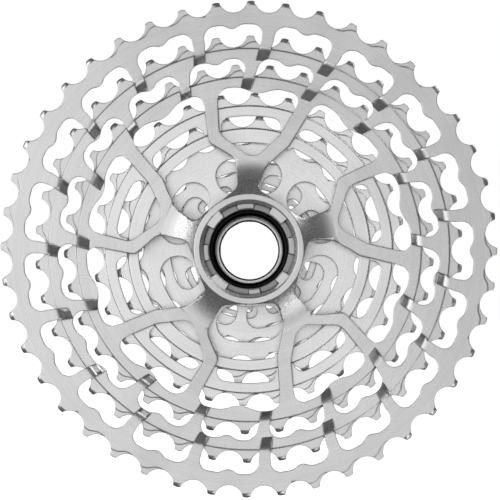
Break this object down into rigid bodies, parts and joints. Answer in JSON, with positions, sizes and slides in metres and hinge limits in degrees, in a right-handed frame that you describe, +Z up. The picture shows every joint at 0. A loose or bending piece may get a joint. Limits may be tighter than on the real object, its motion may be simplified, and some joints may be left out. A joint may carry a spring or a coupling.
{
  "type": "bicycle cassette",
  "caption": "Multi-speed bicycle cassette: a cone of toothed sprockets on a splined hub carrier with Y-shaped arms and a free-turning black lock tube.",
  "frame": {"origin": "centre of the hub bore at the hub rim's inboard face", "axes": "+Y along the spin axis from the inboard (wheel) side towards the smallest sprocket, +Z up, +X right as seen from the inboard side"},
  "size_m": [0.1782, 0.0428, 0.1782],
  "materials": {
    "machined_alloy": "satin",
    "plated_steel": "satin",
    "spacer_alloy": "satin",
    "pin_steel": "satin",
    "black_anodised": "satin",
    "bronze": "satin"
  },
  "bodies": {
    "cassette": {"sprocket_44t": "machined_alloy", "sprocket_38t": "machined_alloy", "sprocket_33t": "machined_alloy", "hub_carrier": "machined_alloy", "sprocket_28t": "plated_steel", "sprocket_24t": "plated_steel", "sprocket_21t": "plated_steel", "sprocket_18t": "plated_steel", "sprocket_16t": "plated_steel", "sprocket_14t": "plated_steel", "sprocket_12t": "plated_steel", "sprocket_10t": "plated_steel", "spacer_21_18": "spacer_alloy", "spacer_18_16": "spacer_alloy", "spacer_16_14": "spacer_alloy", "spacer_14_12": "spacer_alloy", "pins_44t_to_38t": "pin_steel", "pins_38t_to_33t": "pin_steel", "rivets_33t_to_arms": "pin_steel", "pins_28t_to_arms": "pin_steel", "pins_24t_to_arms": "pin_steel", "wear_washer": "bronze", "snap_ring": "pin_steel"},
    "lock_tube": {"lock_tube": "black_anodised", "lock_tube_tool_ring": "pin_steel"}
  },
  "joints": [
    {"name": "lock_tube_spin", "type": "hinge", "parent": "cassette", "child": "lock_tube", "pos_m": [0, 0.0245, 0], "axis": [0, 1, 0], "continuous": true}
  ]
}
